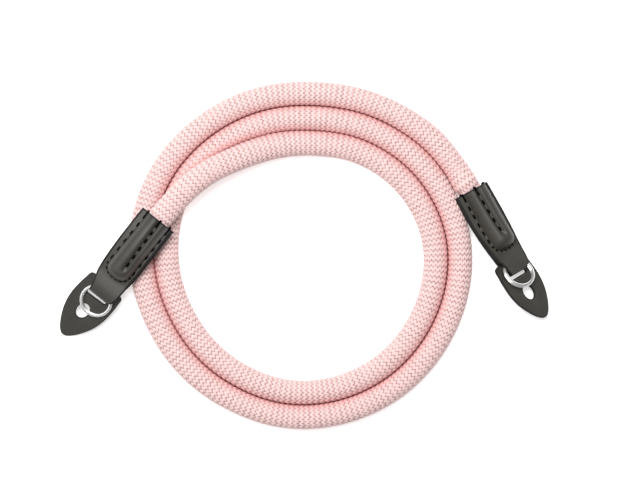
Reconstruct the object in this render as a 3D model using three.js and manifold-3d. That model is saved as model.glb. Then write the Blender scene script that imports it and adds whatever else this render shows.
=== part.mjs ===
// Camera neck strap, lying on a table: a round braided rope in a loose coil of 2.4 turns, with a leather tab
// on each end. A tab is one strip of leather. Its sleeve is stitched over the end of the rope, and its tongue
// folds over a split ring, dives through the slot of a leaf-shaped leather guard and comes back underneath.
// Millimetres, +Z up. The strap rests on Z = 0, and the origin is under the middle of the two leather ends.
import * as THREE from "three";
import { mergeVertices } from "three/addons/utils/BufferGeometryUtils.js";
import Module from "manifold-3d";

const wasm = await Module();
wasm.setup();

// A table with named columns: the first argument names them, and each later one is a row.
const table = (columns, ...rows) =>
  rows.map((row) => Object.fromEntries(columns.map((name, i) => [name, row[i]])));

// Rope
const ROPE_DIAMETER = 9.9;
const ROPE_SIDES = 12;
const ROPE_STEP_DEG = 12;
const FLOOR = ROPE_DIAMETER / 2 + 0.05; // height of the rope's axis where it lies on the table
const COIL_CENTRE = { x: -1.3, y: 0.2 };
// The rope's axis round the coil, counted from +X and against the clock: one row for each 30 degrees, and
// closer where the last pass climbs over the one before it.
const COIL = table(
  ["deg", "radius", "height"],
  [30, 72.8, FLOOR],
  [60, 69.5, FLOOR],
  [90, 67.0, FLOOR],
  [120, 67.0, FLOOR],
  [150, 67.3, FLOOR],
  [180, 66.4, FLOOR],
  [210, 65.3, FLOOR],
  [240, 65.3, FLOOR],
  [270, 66.3, FLOOR],
  [300, 66.2, FLOOR],
  [330, 65.6, FLOOR],
  [360, 65.1, FLOOR],
  [390, 62.7, FLOOR],
  [420, 59.4, FLOOR],
  [450, 56.9, FLOOR],
  [480, 56.9, FLOOR],
  [510, 57.2, FLOOR],
  [540, 55.8, FLOOR],
  [570, 54.8, FLOOR],
  [600, 55.2, FLOOR],
  [630, 56.2, FLOOR],
  [660, 56.1, FLOOR],
  [690, 55.5, FLOOR],
  [720, 55.0, FLOOR],
  [750, 52.6, FLOOR],
  [780, 49.2, FLOOR],
  [810, 46.3, 5.8],
  [825, 46.3, 7.6],
  [840, 47.5, 10.4],
  [855, 50.6, 13.4],
  [870, 54.7, 15.2],
);

// Leather tab, in its own frame: x from the sleeve's mouth to the fold, y across it, z = 0 between its layers
const LEATHER = 1.25;
const TAB_LENGTH = 39.6;
const TAB_OUTLINE = table(
  ["x", "left", "right"],
  [0, -7.9, 7.6],
  [15, -7.9, 7.9],
  [22, -7.8, 8.1],
  [28.7, -7.6, 7.7],
  [32.3, -7.1, 7.4],
  [34.9, -5.7, 7.3],
  [37.6, -4.6, 7.0],
  [38.9, -4.1, 6.3],
  [TAB_LENGTH, -3.5, 5.4],
);
const TAB_SIDE = table(
  ["x", "top", "bottom"],
  [0, LEATHER, -LEATHER],
  [31, LEATHER, -LEATHER],
  [32.2, 1.9, -1.7],
  [33.3, 3.4, -2.4],
  [34.3, 4.15, -2.75],
  [37.8, 4.15, -2.75],
  [38.9, 3.7, -2.5],
  [TAB_LENGTH, 2.4, -1.8],
);
const TAB_STATIONS = [
  0, 3, 6, 9, 12, 15, 18, 20.3, 22.2, 23.8, 25.3, 26.8, 28.2, 29.1, 29.7, 31, 32.2, 33.3, 34.3, 36, 37.8, 38.4,
  39, 39.4, TAB_LENGTH,
];
const TAB_ACROSS = [
  -1, -0.82, -0.665, -0.64, -0.58, -0.47, -0.33, -0.18, -0.04, 0.08, 0.165, 0.25, 0.36, 0.49, 0.59, 0.66, 0.695,
  0.72, 0.86, 1,
];
// The hump that the rope raises. The powers make its section and its end squarish, and its flanks steep.
const HUMP = { left: -5.2, right: 5.6, above: 5.3, below: 3.65, roundFrom: 25.3, roundLength: 4.5 };
const HUMP_POWERS = { across: 2.6, end: 2.2, flank: 0.55 };
const GROOVE = { y: 1.3, width: 0.9, depth: 1.1, end: 22.5, fade: 2.6 };
const CAVITY = { inset: 0.75, above: 5.05, below: 3.45, grooveDepth: 0.5, edge: 0.15 };
const CAVITY_STATIONS = [-1, 3, 7, 11, 15, 19, 21.6, 23.6, 25.3, 26.6, 27.6, 28.4, 28.9];
const CAVITY_ACROSS = [-1, -0.93, -0.8, -0.6, -0.36, -0.12, 0.08, 0.24, 0.4, 0.62, 0.8, 0.93, 1];
// The tunnel across the tongue, in which the ring's rear half and the guard's rear end lie
const TUNNEL = table(
  ["x", "z"],
  [31.8, -1.6],
  [38.3, -1.6],
  [38.3, 2.95],
  [33.9, 2.95],
  [32.7, 0.7],
  [31.8, 0.3],
);
// Below the top layer the tongue is a strip that narrows towards the slot: its edges from sleeve to fold
const STRIP = table(
  ["x", "left", "right"],
  [31.8, -6.4, 6.4],
  [35.1, -3.8, 4.1],
  [TAB_LENGTH + 1, -3.5, 4.0],
);
const CUTTER_REACH = 50; // size of the blocks that cut the tab, well past it on every side

// The bend of a tab that droops over the coil: it starts and ends at these distances from the mouth
const BEND = { from: 8, to: 32 };

// The pressed rope inside a sleeve: where its axis runs, and how far its section shrinks across and upwards
const PRESSED = { y: 0.2, z: 0.55, across: 0.865, up: 0.72 };
const ROPE_OUTSIDE = -3.5;
const ROPE_INSIDE = table(["x", "share"], [-0.5, 1], [9, 1], [17, 1], [24.6, 1], [27.8, 0.5]);

// Guard, in its own frame: x from the middle of the slot's open gap towards the tip, z = 0 on its upper face
const GUARD_THICKNESS = 1.3;
const SLOT_AT = 40.2; // distance from the sleeve's mouth
const GUARD_SIDE = table(
  ["x", "half"],
  [-7.4, 3.5],
  [-7.2, 6.7],
  [-6.1, 8.0],
  [-3, 8.8],
  [1.5, 9.2],
  [6, 9.1],
  [10.5, 8.1],
  [14.4, 6.3],
  [17.6, 4.1],
  [19.9, 2.0],
);
const GUARD_TIP = 21;
const SLOT = { from: -2.6, to: 0.6, half: 4.5, corner: 0.5 };
const LUG_HOLE = { x: 8.3, y: -0.4, along: 3.2, across: 2.7 };

// Split ring, wound twice, lying on the guard
const RING = { radius: 6.5, wire: 1.2, rise: 1.25, gap: 0.25, end: 0.42, crossing: 0.32 };
const RING_STEPS = 60;
const RING_SIDES = 8;

// Where each end lies: the mouth's middle, the way it points, its roll, its droop, how far the guard is turned
// on the tongue, where the ring's middle is from the slot's, and where its wire crosses over
const ENDS = table(
  ["name", "x", "y", "z", "heading", "roll", "droop", "guardTurn", "ringX", "ringY", "ringTurn"],
  ["left", -60.85, 14.35, 15.3, 231.1, 0, 19.95, -4, 1.3, 0.8, 200],
  ["right", 68.1, 27.85, 6.17, -61.2, -35, -1, 4, 0.8, 1.3, 150],
);

const COLOURS = {
  rope: { color: 0xf3bfc0, roughness: 0.85, metalness: 0 },
  leather: { color: 0x4b4743, roughness: 0.5, metalness: 0 },
  steel: { color: 0xd6d6d4, roughness: 0.2, metalness: 1 },
};

// The value of a column between the rows of a table: cubic pieces that never pass the rows' own values.
function between(rows, key, column, at) {
  const last = rows.length - 1;
  const slopeOf = (i) => (rows[i + 1][column] - rows[i][column]) / (rows[i + 1][key] - rows[i][key]);
  const slopeAt = (i) => {
    if (i === 0 || i === last) return 0;
    const [before, after] = [slopeOf(i - 1), slopeOf(i)];
    return before * after > 0 ? (2 * before * after) / (before + after) : 0;
  };
  let i = 0;
  while (i < last - 1 && at > rows[i + 1][key]) i++;
  const span = rows[i + 1][key] - rows[i][key];
  const t = THREE.MathUtils.clamp((at - rows[i][key]) / span, 0, 1);
  const [a, b] = [rows[i][column], rows[i + 1][column]];
  const ease = t * t * (3 - 2 * t);
  return (
    a + (b - a) * ease + span * (t * (1 - t) * (1 - t) * slopeAt(i) - t * t * (1 - t) * slopeAt(i + 1))
  );
}

// A closed geometry as a manifold-3d solid, and back.
function solidOf(geometry) {
  const bare = geometry.clone().deleteAttribute("normal").deleteAttribute("uv");
  const merged = mergeVertices(bare);
  const mesh = new wasm.Mesh({
    numProp: 3,
    vertProperties: merged.attributes.position.array,
    triVerts: new Uint32Array(merged.index.array),
  });
  return new wasm.Manifold(mesh);
}

function geometryOf(solid) {
  const mesh = solid.getMesh();
  const geometry = new THREE.BufferGeometry();
  geometry.setAttribute("position", new THREE.BufferAttribute(mesh.vertProperties, 3));
  geometry.setIndex(new THREE.BufferAttribute(mesh.triVerts, 1));
  geometry.computeVertexNormals();
  return geometry;
}

// A closed slab over a grid: xs are its stations, and at each of them the outline gives the y of its two
// edges, the fractions spread the columns between them, and top and bottom give the heights.
function slab(xs, fractions, edges, top, bottom) {
  const points = [];
  for (const height of [top, bottom])
    for (const x of xs) {
      const [left, right] = edges(x);
      for (const f of fractions) {
        const y = f < 0 ? -f * left : f * right;
        points.push(x, y, height(x, y));
      }
    }
  const columns = fractions.length;
  const layer = xs.length * columns;
  const faces = [];
  const quad = (a, b, c, d) => faces.push(a, b, c, a, c, d);
  for (let i = 0; i < xs.length - 1; i++)
    for (let j = 0; j < columns - 1; j++) {
      const a = i * columns + j;
      quad(a, a + columns, a + columns + 1, a + 1);
      quad(layer + a, layer + a + 1, layer + a + columns + 1, layer + a + columns);
    }
  for (let i = 0; i < xs.length - 1; i++) {
    const left = i * columns;
    const right = left + columns - 1;
    quad(left, layer + left, layer + left + columns, left + columns);
    quad(right, right + columns, layer + right + columns, layer + right);
  }
  for (let j = 0; j < columns - 1; j++) {
    const mouth = j;
    const front = layer - columns + j;
    quad(mouth, mouth + 1, layer + mouth + 1, layer + mouth);
    quad(front, layer + front, layer + front + 1, front + 1);
  }
  const geometry = new THREE.BufferGeometry();
  geometry.setAttribute("position", new THREE.Float32BufferAttribute(points, 3));
  geometry.setIndex(faces);
  return geometry;
}

// The height share, 0 to 1, of the hump that the rope raises in a sleeve, rounded off at the rope's end.
function humpShare(x, y, inset = 0) {
  const [left, right] = [HUMP.left + inset, HUMP.right - inset];
  const across = Math.abs((2 * (y - left)) / (right - left) - 1);
  const past = Math.max(0, (x - HUMP.roundFrom) / (HUMP.roundLength - inset));
  return Math.max(0, 1 - across ** HUMP_POWERS.across - past ** HUMP_POWERS.end) ** HUMP_POWERS.flank;
}

// The dent of the stitch row that runs along the hump, 0 to 1.
function grooveShare(x, y) {
  const fade = THREE.MathUtils.clamp(1 - (x - GROOVE.end) / GROOVE.fade, 0, 1);
  return fade * Math.exp(-(((y - GROOVE.y) / GROOVE.width) ** 2));
}

// A block that runs across the whole tab, with its profile in x and z.
function acrossTab(profile) {
  const shape = new THREE.Shape(profile.map(({ x, z }) => new THREE.Vector2(x, z)));
  const block = new THREE.ExtrudeGeometry(shape, { depth: CUTTER_REACH, bevelEnabled: false });
  return solidOf(block.rotateX(Math.PI / 2).translate(0, CUTTER_REACH / 2, 0));
}

// What stays above the tunnel's sloping ceiling.
function roofOverTunnel() {
  const [slopeTop, slopeFoot, rear] = TUNNEL.slice(-3);
  const behind = rear.x - LEATHER;
  return acrossTab([
    { x: behind, z: rear.z },
    rear,
    slopeFoot,
    slopeTop,
    { x: CUTTER_REACH, z: slopeTop.z },
    { x: CUTTER_REACH, z: CUTTER_REACH },
    { x: behind, z: CUTTER_REACH },
  ]);
}

// A block that takes away what lies beyond one edge of the inner strip.
function besideStrip(side) {
  const far = Math.sign(STRIP[0][side]) * CUTTER_REACH;
  const corners = STRIP.map((row) => new THREE.Vector2(row.x, row[side]));
  corners.push(new THREE.Vector2(STRIP.at(-1).x, far), new THREE.Vector2(STRIP[0].x, far));
  const shape = new THREE.Shape(corners);
  const block = new THREE.ExtrudeGeometry(shape, { depth: CUTTER_REACH, bevelEnabled: false });
  return solidOf(block.translate(0, 0, -CUTTER_REACH / 2));
}

// The sleeve and tongue: the outer form less the rope's cavity, the tunnel and what is beside the strip.
function tabSolid() {
  const outer = slab(
    TAB_STATIONS,
    TAB_ACROSS,
    (x) => [between(TAB_OUTLINE, "x", "left", x), between(TAB_OUTLINE, "x", "right", x)],
    (x, y) => {
      const share = humpShare(x, y);
      const dent = GROOVE.depth * grooveShare(x, y) * Math.min(1, 2 * share);
      return between(TAB_SIDE, "x", "top", x) + HUMP.above * share - dent;
    },
    (x, y) => between(TAB_SIDE, "x", "bottom", x) - HUMP.below * humpShare(x, y),
  );
  const { inset, above, below, grooveDepth, edge } = CAVITY;
  const cavity = slab(
    CAVITY_STATIONS,
    CAVITY_ACROSS,
    () => [HUMP.left + inset, HUMP.right - inset],
    (x, y) => edge + (above - grooveDepth * grooveShare(x, y)) * humpShare(x, y, inset),
    (x, y) => -edge - below * humpShare(x, y, inset),
  );
  const roof = roofOverTunnel();
  return ["left", "right"].reduce(
    (solid, side) => solid.subtract(besideStrip(side).subtract(roof)),
    solidOf(outer).subtract(solidOf(cavity)).subtract(acrossTab(TUNNEL)),
  );
}

// A point of a tab's straight frame after the tab has drooped: an arc between the bend's two ends, and a
// straight stretch after it.
function drooped(point, degrees) {
  if (point.x <= BEND.from) return point;
  const full = THREE.MathUtils.degToRad(degrees);
  const radius = (BEND.to - BEND.from) / full;
  const angle = full * Math.min(1, (point.x - BEND.from) / (BEND.to - BEND.from));
  const rest = Math.max(0, point.x - BEND.to);
  const x = BEND.from + (radius + point.z) * Math.sin(angle) + rest * Math.cos(angle);
  const z = (radius + point.z) * Math.cos(angle) - radius - rest * Math.sin(angle);
  return point.set(x, point.y, z);
}

function droopedGeometry(geometry, degrees) {
  const position = geometry.attributes.position;
  const point = new THREE.Vector3();
  for (let i = 0; i < position.count; i++) {
    drooped(point.fromBufferAttribute(position, i), degrees);
    position.setXYZ(i, point.x, point.y, point.z);
  }
  geometry.computeVertexNormals();
  return geometry;
}

// The leaf outline as a smooth closed curve, with the slot and the hole for the camera's lug cut through.
function guardGeometry() {
  const right = GUARD_SIDE.map(({ x, half }) => new THREE.Vector2(x, half));
  const left = GUARD_SIDE.map(({ x, half }) => new THREE.Vector2(x, -half)).reverse();
  const rim = new THREE.SplineCurve([...right, new THREE.Vector2(GUARD_TIP, 0), ...left]);
  const outline = new THREE.Shape(rim.getPoints(4 * GUARD_SIDE.length).reverse());
  const { from, to, half, corner } = SLOT;
  const slot = new THREE.Path();
  slot.moveTo(from + corner, -half);
  slot.lineTo(to - corner, -half).absarc(to - corner, -half + corner, corner, -Math.PI / 2, 0);
  slot.lineTo(to, half - corner).absarc(to - corner, half - corner, corner, 0, Math.PI / 2);
  slot.lineTo(from + corner, half).absarc(from + corner, half - corner, corner, Math.PI / 2, Math.PI);
  slot.lineTo(from, -half + corner).absarc(from + corner, -half + corner, corner, Math.PI, 1.5 * Math.PI);
  const { x, y, along, across } = LUG_HOLE;
  const hole = new THREE.Path().absellipse(x, y, along, across, 0, 2 * Math.PI);
  outline.holes.push(slot, hole);
  const geometry = new THREE.ExtrudeGeometry(outline, {
    depth: GUARD_THICKNESS,
    bevelEnabled: false,
    curveSegments: 6,
  });
  return geometry.translate(0, 0, -GUARD_THICKNESS);
}

// The ring's wire: two flat turns, with one short slope where the first climbs onto the second.
class RingWire extends THREE.Curve {
  getPoint(t) {
    const angle = RING.end + t * (4 * Math.PI - 2 * RING.end);
    const climb = THREE.MathUtils.smoothstep(angle, 2 * Math.PI - RING.crossing, 2 * Math.PI + RING.crossing);
    return new THREE.Vector3(RING.radius * Math.cos(angle), RING.radius * Math.sin(angle), RING.rise * climb);
  }
}

function polygon(radius, sides, turn = 0) {
  const corners = Array.from({ length: sides }, (_, i) => turn + (2 * Math.PI * i) / sides);
  return new THREE.Shape(corners.map((a) => new THREE.Vector2(radius * Math.cos(a), radius * Math.sin(a))));
}

function ringGeometry() {
  const section = polygon(RING.wire / 2, RING_SIDES, Math.PI / RING_SIDES);
  return new THREE.ExtrudeGeometry(section, { steps: RING_STEPS, extrudePath: new RingWire() });
}

function piece(name, geometry, look) {
  const mesh = new THREE.Mesh(geometry, new THREE.MeshStandardMaterial(COLOURS[look]));
  mesh.name = name;
  return mesh;
}

// One leather end with its guard and ring, placed where it lies.
function endGroup(end) {
  const group = new THREE.Group();
  group.position.set(end.x, end.y, end.z);
  group.rotation.order = "ZYX";
  group.rotation.set(THREE.MathUtils.degToRad(end.roll), 0, THREE.MathUtils.degToRad(end.heading));
  group.add(piece(end.name + "_tab", droopedGeometry(geometryOf(tabSolid()), end.droop), "leather"));

  const loop = new THREE.Group();
  loop.position.copy(drooped(new THREE.Vector3(SLOT_AT, 0, 0), end.droop));
  loop.rotation.y = THREE.MathUtils.degToRad(end.droop);
  const guard = piece(end.name + "_guard", guardGeometry(), "leather");
  guard.rotation.z = THREE.MathUtils.degToRad(end.guardTurn);
  const ring = piece(end.name + "_ring", ringGeometry(), "steel");
  ring.position.set(end.ringX, end.ringY, RING.gap + RING.wire / 2);
  ring.rotation.z = THREE.MathUtils.degToRad(end.ringTurn);
  loop.add(guard, ring);
  group.add(loop);
  group.updateMatrixWorld(true);
  return group;
}

// The rope's stations: out of one sleeve, round the coil and into the other. Stations inside a sleeve carry
// the sleeve's own up direction and the share of the pressed section that is left there.
function ropeStations(leftGroup, rightGroup) {
  const inSleeve = (group, end, x, share) => {
    const local = drooped(new THREE.Vector3(x, PRESSED.y, PRESSED.z), end.droop);
    const above = drooped(new THREE.Vector3(x, PRESSED.y, PRESSED.z + 1), end.droop);
    const point = group.localToWorld(local);
    const up = group.localToWorld(above).sub(point);
    return { point, up, share };
  };
  const [leftEnd, rightEnd] = ENDS;
  const stations = [...ROPE_INSIDE].reverse().map(({ x, share }) => inSleeve(rightGroup, rightEnd, x, share));
  stations.push({ point: inSleeve(rightGroup, rightEnd, ROPE_OUTSIDE, 1).point });
  for (let deg = COIL[0].deg; deg <= COIL.at(-1).deg; deg += ROPE_STEP_DEG) {
    const angle = THREE.MathUtils.degToRad(deg);
    const radius = between(COIL, "deg", "radius", deg);
    const [x, y] = [COIL_CENTRE.x + radius * Math.cos(angle), COIL_CENTRE.y + radius * Math.sin(angle)];
    stations.push({ point: new THREE.Vector3(x, y, between(COIL, "deg", "height", deg)) });
  }
  stations.push({ point: inSleeve(leftGroup, leftEnd, ROPE_OUTSIDE, 1).point });
  stations.push(...ROPE_INSIDE.map(({ x, share }) => inSleeve(leftGroup, leftEnd, x, share)));
  return stations;
}

// A curve through the stations that is sampled at the stations themselves.
class StationCurve extends THREE.CatmullRomCurve3 {
  getUtoTmapping(u) {
    return u;
  }
}

// A tube along the stations. Where a station is inside a sleeve its section is pressed flat and narrowed.
function ropeGeometry(stations) {
  const path = new StationCurve(stations.map(({ point }) => point));
  const corner = ROPE_DIAMETER / 2 / Math.cos(Math.PI / ROPE_SIDES);
  const section = polygon(corner, ROPE_SIDES, Math.PI / ROPE_SIDES);
  const geometry = new THREE.ExtrudeGeometry(section, { steps: stations.length - 1, extrudePath: path });
  const position = geometry.attributes.position;
  const vertex = new THREE.Vector3();
  for (let i = 0; i < position.count; i++) {
    vertex.fromBufferAttribute(position, i);
    const gaps = stations.map(({ point }) => point.distanceTo(vertex));
    const { point, up, share } = stations[gaps.indexOf(Math.min(...gaps))];
    if (!up) continue;
    const offset = vertex.sub(point);
    const raised = up.clone().multiplyScalar(offset.dot(up));
    offset.sub(raised).multiplyScalar(share * PRESSED.across).addScaledVector(raised, share * PRESSED.up);
    position.setXYZ(i, point.x + offset.x, point.y + offset.y, point.z + offset.z);
  }
  return geometry;
}

const [leftGroup, rightGroup] = ENDS.map(endGroup);
const strap = new THREE.Group();
strap.add(piece("rope", ropeGeometry(ropeStations(leftGroup, rightGroup)), "rope"), leftGroup, rightGroup);

export default strap;
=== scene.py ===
"""A camera neck strap: a round braided rope in a loose coil, with a stitched leather end, a leaf-shaped
leather guard and a split ring at either side. It lies on a pale table and is seen from straight above."""

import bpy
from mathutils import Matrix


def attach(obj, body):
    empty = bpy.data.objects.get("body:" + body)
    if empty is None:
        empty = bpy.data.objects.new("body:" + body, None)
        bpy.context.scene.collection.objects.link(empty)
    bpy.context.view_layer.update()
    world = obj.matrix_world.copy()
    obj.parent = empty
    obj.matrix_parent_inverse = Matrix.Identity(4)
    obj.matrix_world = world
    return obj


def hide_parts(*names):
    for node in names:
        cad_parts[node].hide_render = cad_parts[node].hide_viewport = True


bl_info = {
    "name": "Rope neck strap",
    "version": (1, 0, 0),
    "blender": (4, 5, 0),
    "location": "View3D > Sidebar > Strap",
    "description": "A braided rope strap with stitched leather ends, leather guards and split rings",
    "category": "Add Mesh",
}

import bpy
import numpy as np
from mathutils import Vector
from mathutils.geometry import tessellate_polygon

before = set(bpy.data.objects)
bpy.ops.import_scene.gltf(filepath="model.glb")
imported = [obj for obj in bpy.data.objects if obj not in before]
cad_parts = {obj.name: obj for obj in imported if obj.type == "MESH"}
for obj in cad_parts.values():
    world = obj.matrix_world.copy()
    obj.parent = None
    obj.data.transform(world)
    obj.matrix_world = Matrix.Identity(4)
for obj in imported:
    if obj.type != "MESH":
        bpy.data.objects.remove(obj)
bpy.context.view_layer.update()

MM = 0.001
BODY = "root"


def table(columns, *rows):
    """Rows of numbers under named columns, as one array for each column."""
    return {name: np.array([row[i] for row in rows], float) for i, name in enumerate(columns)}


# Sizes of shapes are in millimetres. The rope's route goes round the coil, counted from +X and against the
# clock, and FLOOR is the height of its axis where it lies on the table
ROPE_RADIUS = 4.95
COIL_CENTRE = (-1.3, 0.2)
COIL_STEP_DEG = 12
FLOOR = 5.0
COIL = table(
    ["deg", "radius", "height"],
    [30, 72.8, FLOOR],
    [60, 69.5, FLOOR],
    [90, 67.0, FLOOR],
    [120, 67.0, FLOOR],
    [150, 67.3, FLOOR],
    [180, 66.4, FLOOR],
    [210, 65.3, FLOOR],
    [240, 65.3, FLOOR],
    [270, 66.3, FLOOR],
    [300, 66.2, FLOOR],
    [330, 65.6, FLOOR],
    [360, 65.1, FLOOR],
    [390, 62.7, FLOOR],
    [420, 59.4, FLOOR],
    [450, 56.9, FLOOR],
    [480, 56.9, FLOOR],
    [510, 57.2, FLOOR],
    [540, 55.8, FLOOR],
    [570, 54.8, FLOOR],
    [600, 55.2, FLOOR],
    [630, 56.2, FLOOR],
    [660, 56.1, FLOOR],
    [690, 55.5, FLOOR],
    [720, 55.0, FLOOR],
    [750, 52.6, FLOOR],
    [780, 49.2, FLOOR],
    [810, 46.3, 5.8],
    [825, 46.3, 7.6],
    [840, 47.5, 10.4],
    [855, 50.6, 13.4],
    [870, 54.7, 15.2],
)
# Neighbouring turns press each other, so that the section is a little wider than high, and swells by a share
# of the gap towards the next turn where that is nearer than the reach. The powers say how narrow the swelling
# is and how soon a crowded side loses its ridges. A gap is never counted as more than NO_NEIGHBOUR
WIDENED = 1.035
CROWDING_FADE = 2.4
SWELLING = 0.75
SWELLING_REACH = 2.6
SWELLING_POWER = 4
RIDGELESS_POWER = 4
NO_NEIGHBOUR = 49.5
# The sides of the columns sink by this share of the relief. The route is thinned to one point in so many, and
# the thinned route is not used
COLUMN_DEPTH = 0.3
ROUTE_STEP = 20
# Inside a sleeve the rope is pressed flat and narrowed. It passes these places along the sleeve
PRESSED = {"y": 0.2, "z": 0.55, "across": 0.86, "up": 0.72}
ROPE_IN_SLEEVE = (1.4, 9.0, 17.0, 23.0, 26.4)
ROPE_OUTSIDE = -2.6

# How each end lies, in degrees where it turns. In an end's frame x runs along the sleeve, y to its left, z up
# at, heading, roll, droop: the frame's origin, the way it points, its roll, and how far it bends down
# twist: how far the sleeve is twisted back from the roll
# mouth, rope_aside: where the sleeve's mouth is, and how far off the middle the rope enters it
# groove: how far aside the sleeve's groove is, at the mouth and at the groove's end
# lean: how far the fold leans over for each millimetre of height
# guard_turn, guard_lift: how far the guard is turned, and how far its tip is lifted
# guard_stretch: how far the guard is stretched behind and before the slot
# slot_to, slot_turn: where the slot ends, and how far it is turned in the guard
# ring, ring_tilt, ring_turn: the ring's middle from the slot's, its tilt, and where its wire crosses over
ENDS = {
    "left": dict(
        at=(-60.85, 14.35, 15.3),
        heading=231.1,
        roll=0,
        droop=19.95,
        twist=0,
        mouth=-1.0,
        rope_aside=0.0,
        groove=(1.25, 2.05),
        lean=0,
        guard_turn=-4,
        guard_lift=1.7,
        guard_stretch=(0.86, 1.085),
        slot_to=1.4,
        slot_turn=7,
        ring=(1.55, 0.85),
        ring_tilt=0,
        ring_turn=200,
    ),
    "right": dict(
        at=(68.1, 27.85, 6.17),
        heading=-61.2,
        roll=-35,
        droop=-1,
        twist=15,
        mouth=0.6,
        rope_aside=-1.1,
        groove=(-0.3, 0.3),
        lean=0.574,
        guard_turn=5.5,
        guard_lift=0,
        guard_stretch=(1.0, 1.0),
        slot_to=0.8,
        slot_turn=-4,
        ring=(-0.5, -0.95),
        ring_tilt=-13,
        ring_turn=185,
    ),
}
# Along the end: where the droop's arc starts and ends, where the twist does, and where the guard's slot is
BEND = (8.0, 32.0)
TWIST = (12.0, 36.0)
SLOT_AT = 40.2

# The leather strip of an end, followed along its outer side: over the sleeve, round the fold and back below
STRIP = table(
    ["x", "z", "left", "right"],
    [0, 1.25, -7.7, 7.0],
    [8, 1.25, -7.75, 7.25],
    [15, 1.25, -7.65, 7.4],
    [20, 1.25, -7.4, 7.5],
    [25, 1.25, -7.05, 7.5],
    [27.4, 1.27, -6.8, 7.45],
    [29, 1.45, -6.55, 7.45],
    [30.4, 1.85, -6.25, 7.4],
    [31.8, 2.35, -5.85, 7.35],
    [33.2, 2.8, -5.35, 7.3],
    [34.8, 3.2, -4.85, 7.2],
    [36.4, 3.35, -4.5, 7.0],
    [37.6, 3.25, -4.3, 6.7],
    [38.6, 2.95, -4.15, 6.1],
    [39.25, 2.4, -4.1, 5.3],
    [39.6, 1.7, -4.1, 4.6],
    [39.6, 0.7, -4.1, 4.25],
    [39.6, -0.9, -4.1, 4.2],
    [39.4, -2.0, -4.1, 4.2],
    [38.7, -2.62, -4.1, 4.2],
    [37.4, -2.75, -4.1, 4.2],
    [35.2, -2.72, -4.3, 4.4],
    [33.6, -2.35, -5.2, 5.4],
    [32.2, -1.62, -6.1, 6.5],
    [30.8, -1.28, -6.5, 7.3],
    [26, -1.25, -7.1, 7.9],
    [20, -1.25, -7.5, 8.05],
    [10, -1.25, -7.8, 7.95],
    [0, -1.25, -7.8, 7.8],
)
STRIP_ROWS = 300
STRIP_COLUMNS = 61
LAYER_TOP = 1.25
LEATHER_HALF = 0.58
EDGE_BULGE = 0.55
PAINTED_MARGIN = 0.3
MOUTH_STRETCH_FROM = 8.0
# The sleeve's hump over the rope: its two sides, its heights, and where its round end starts. The groove is
# the dent of the stitch row along it
HUMP = {"left": -4.9, "right": 5.8, "above": 5.3, "below": 3.65, "round_from": 24.2, "round_length": 4.5}
HUMP_POWERS = {"across": 2.6, "end": 2.2, "flank": 0.55}
GROOVE = {"width": 1.0, "depth": 1.35, "end": 21.0, "fade": 3.6}

# The stitch rows: how far outside the hump and beyond the groove they run, at which share of a spacing the
# first stitch is, and how far ahead and behind a stitch the row's direction is taken
SEAM_OFFSET = 0.2
SEAM_BEYOND_GROOVE = 0.8
FIRST_STITCH = 0.6
LOOK_AHEAD = 0.2
# A stitch is an arch, in thread widths: how far its middle rises, how far its ends drop from there, how flat
# its section is, and the least share of the section that is left at its ends
ARCH = {"rise": 0.25, "drop": 0.45, "flat": 0.8, "least": 0.12, "power": 4}
# The thread over the mouth's edge: where it starts inside the mouth, how far it reaches out from there, and
# how far it stands off the leather, in thread widths
WRAP = {"start": 1.3, "reach": 1.6, "off": 0.2}

# The guard's outline: half its width, from its rear end past the slot to the tip
GUARD_SIDE = table(
    ["x", "half"],
    [-7.4, 3.5],
    [-7.3, 7.0],
    [-6.5, 8.35],
    [-3, 8.85],
    [1.5, 9.15],
    [6, 9.05],
    [10.5, 8.1],
    [14.4, 6.4],
    [17.6, 4.4],
    [19.8, 2.5],
    [20.7, 1.2],
)
GUARD_TIP = 21.0
GUARD_THICKNESS = 1.3
# The guards' leather is a little darker than the ends'
GUARD_DARKER = 0.85
OUTLINE_STEPS = {"span": 8, "rear": 12, "corner": 7, "hole": 48}
SLOT = {"from": -2.6, "half": 4.5, "corner": 0.55}
LUG_HOLE = {"x": 8.5, "y": -0.35, "along": 3.2, "across": 2.6}

# The split ring: the height of its wire and the power of its squarish section, how far the second turn rises,
# the gap to the guard, and, as angles, where the wire ends and half of the slope between the turns
RING = {
    "radius": 6.25,
    "wire_height": 0.82,
    "power": 0.8,
    "rise": 0.86,
    "gap": 0.15,
    "end": 0.42,
    "crossing": 0.32,
}

# The photograph's frame: how many millimetres of the table one pixel shows, and what its middle looks at
PICTURE_WIDTH = 624
MM_PER_PIXEL = 0.412
LOOKED_AT = (2.8, 2.7)
VIEW_END_M = 20
# The table's half width and the two soft lights, in metres
TABLE_HALF_M = 1.6
KEY_LIGHT = {"place": (-0.1, 0.44, 1.2), "size": 0.65}
FILL_LIGHT = {"place": (-0.78, -0.12, 0.85), "size": 0.9}


def between(rows, key, column, at):
    """The value of a column between the rows: cubic pieces that never pass the rows' own values, with the
    harmonic mean of the neighbouring slopes at each row and level ends."""
    keys, values = rows[key], rows[column]
    steep = np.diff(values) / np.diff(keys)
    slope = np.zeros_like(values)
    before, after = steep[:-1], steep[1:]
    same = before * after > 0
    slope[1:-1][same] = 2 * before[same] * after[same] / (before[same] + after[same])
    i = np.clip(np.searchsorted(keys, at) - 1, 0, len(keys) - 2)
    span = keys[i + 1] - keys[i]
    t = np.clip((at - keys[i]) / span, 0, 1)
    ease = t * t * (3 - 2 * t)
    bend = t * (1 - t) ** 2 * slope[i] - t * t * (1 - t) * slope[i + 1]
    return values[i] + (values[i + 1] - values[i]) * ease + span * bend


def smooth(t):
    """0 up to t = 0, 1 from t = 1, and a soft step between them."""
    t = np.clip(t, 0, 1)
    return t * t * (3 - 2 * t)


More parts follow.
